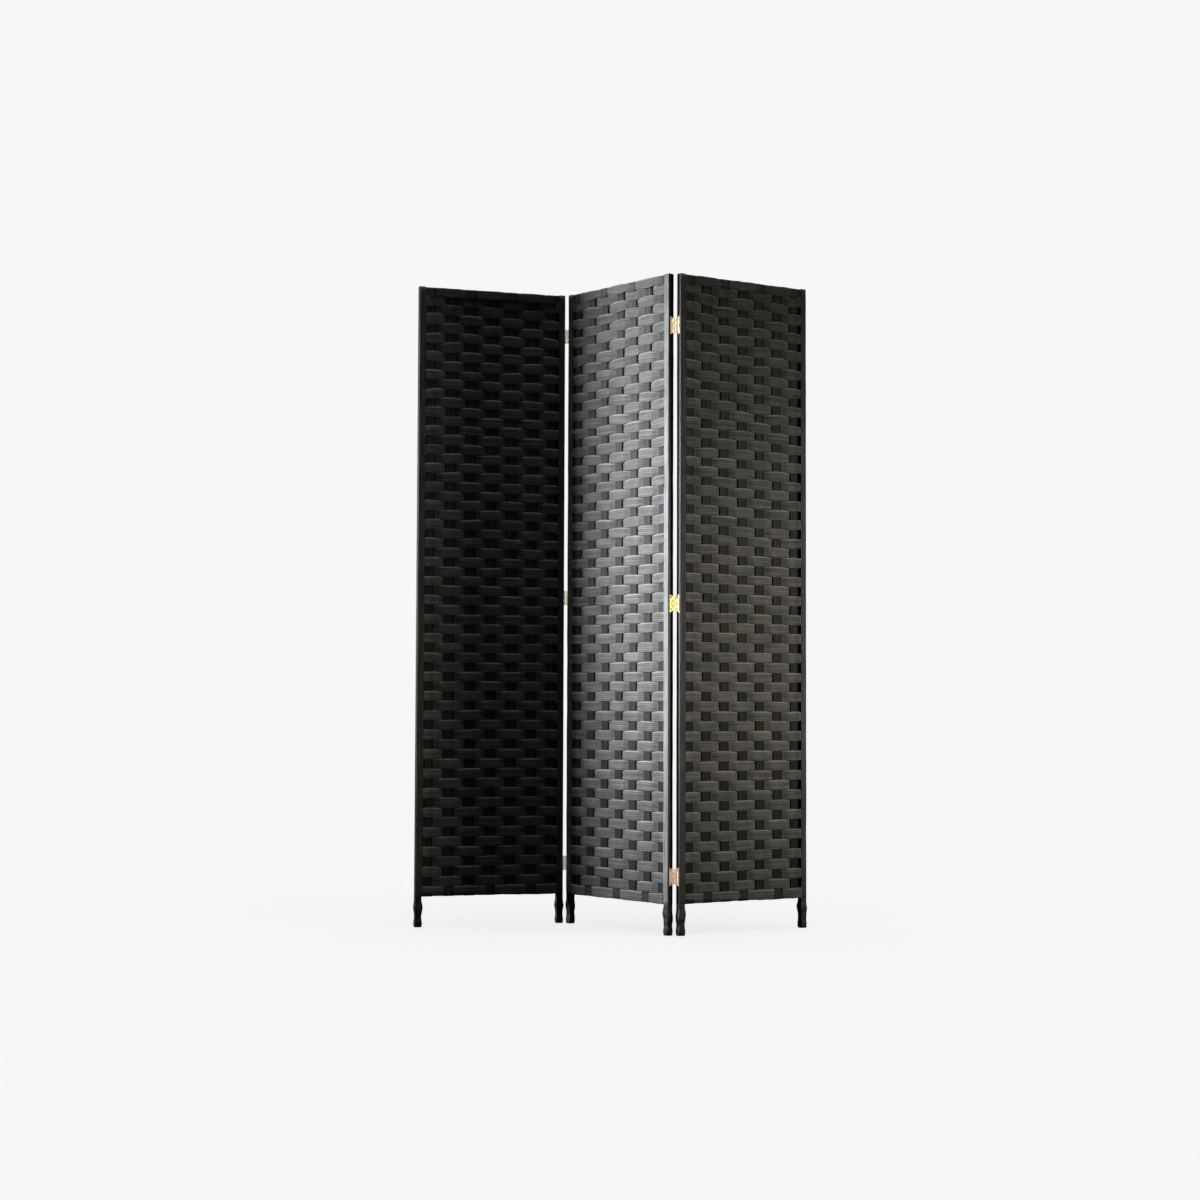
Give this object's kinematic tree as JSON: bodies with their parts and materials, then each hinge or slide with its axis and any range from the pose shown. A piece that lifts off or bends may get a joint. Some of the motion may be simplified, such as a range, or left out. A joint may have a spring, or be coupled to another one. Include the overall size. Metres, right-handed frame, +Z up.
{
  "type": "folding room divider screen",
  "caption": "Free-standing zigzag screen of black woven paper-ribbon panels in slim wooden frames, joined by small brass butt hinges.",
  "frame": {"origin": "on the floor, at the centre of the bounding box of the screen's footprint in its stored zigzag", "axes": "+Z up; X along the screen's overall length, left panel at -X; the front faces -Y"},
  "size_m": [1.1, 0.3536, 1.8],
  "materials": {
    "painted_wood": "satin",
    "dowel_wood": "matte",
    "paper_slat": "matte",
    "paper_ribbon": "matte",
    "edge_ribbon": "matte",
    "leg_ribbon": "matte",
    "hinge_brass": "polished",
    "pin_brass": "polished",
    "screw_brass": "polished"
  },
  "bodies": {
    "left_panel": {"left_panel_stile_left": "painted_wood", "left_panel_stile_right": "painted_wood", "left_panel_top_rail": "painted_wood", "left_panel_bottom_rail": "painted_wood", "left_panel_corner_dowels": "dowel_wood", "left_panel_slats": "paper_slat", "left_panel_woven_ribbons": "paper_ribbon", "left_panel_edge_band_left": "edge_ribbon", "left_panel_edge_band_right": "edge_ribbon", "left_panel_top_band": "edge_ribbon", "left_panel_bottom_band": "edge_ribbon", "left_panel_leg_wrap_left": "leg_ribbon", "left_panel_leg_wrap_right": "leg_ribbon", "left_panel_hinge_screws": "screw_brass", "left_hinge_bottom_leaf_left": "hinge_brass", "left_hinge_middle_leaf_left": "hinge_brass", "left_hinge_top_leaf_left": "hinge_brass"},
    "middle_panel": {"middle_panel_stile_left": "painted_wood", "middle_panel_stile_right": "painted_wood", "middle_panel_top_rail": "painted_wood", "middle_panel_bottom_rail": "painted_wood", "middle_panel_corner_dowels": "dowel_wood", "middle_panel_slats": "paper_slat", "middle_panel_woven_ribbons": "paper_ribbon", "middle_panel_edge_band_left": "edge_ribbon", "middle_panel_edge_band_right": "edge_ribbon", "middle_panel_top_band": "edge_ribbon", "middle_panel_bottom_band": "edge_ribbon", "middle_panel_leg_wrap_left": "leg_ribbon", "middle_panel_leg_wrap_right": "leg_ribbon", "middle_panel_hinge_screws": "screw_brass", "left_hinge_bottom_leaf_right": "hinge_brass", "left_hinge_bottom_pin": "pin_brass", "left_hinge_middle_leaf_right": "hinge_brass", "left_hinge_middle_pin": "pin_brass", "left_hinge_top_leaf_right": "hinge_brass", "left_hinge_top_pin": "pin_brass", "right_hinge_bottom_leaf_left": "hinge_brass", "right_hinge_bottom_pin": "pin_brass", "right_hinge_middle_leaf_left": "hinge_brass", "right_hinge_middle_pin": "pin_brass", "right_hinge_top_leaf_left": "hinge_brass", "right_hinge_top_pin": "pin_brass"},
    "right_panel": {"right_panel_stile_left": "painted_wood", "right_panel_stile_right": "painted_wood", "right_panel_top_rail": "painted_wood", "right_panel_bottom_rail": "painted_wood", "right_panel_corner_dowels": "dowel_wood", "right_panel_slats": "paper_slat", "right_panel_woven_ribbons": "paper_ribbon", "right_panel_edge_band_left": "edge_ribbon", "right_panel_edge_band_right": "edge_ribbon", "right_panel_top_band": "edge_ribbon", "right_panel_bottom_band": "edge_ribbon", "right_panel_leg_wrap_left": "leg_ribbon", "right_panel_leg_wrap_right": "leg_ribbon", "right_panel_hinge_screws": "screw_brass", "right_hinge_bottom_leaf_right": "hinge_brass", "right_hinge_middle_leaf_right": "hinge_brass", "right_hinge_top_leaf_right": "hinge_brass"}
  },
  "joints": [
    {"name": "left_fold", "type": "hinge", "parent": "middle_panel", "child": "left_panel", "pos_m": [-0.13015, 0.15867, 0], "axis": [0, 0, 1], "range_deg": [-68, 112]},
    {"name": "right_fold", "type": "hinge", "parent": "middle_panel", "child": "right_panel", "pos_m": [0.17126, -0.16154, 0], "axis": [0, 0, 1], "range_deg": [-82, 98]}
  ]
}
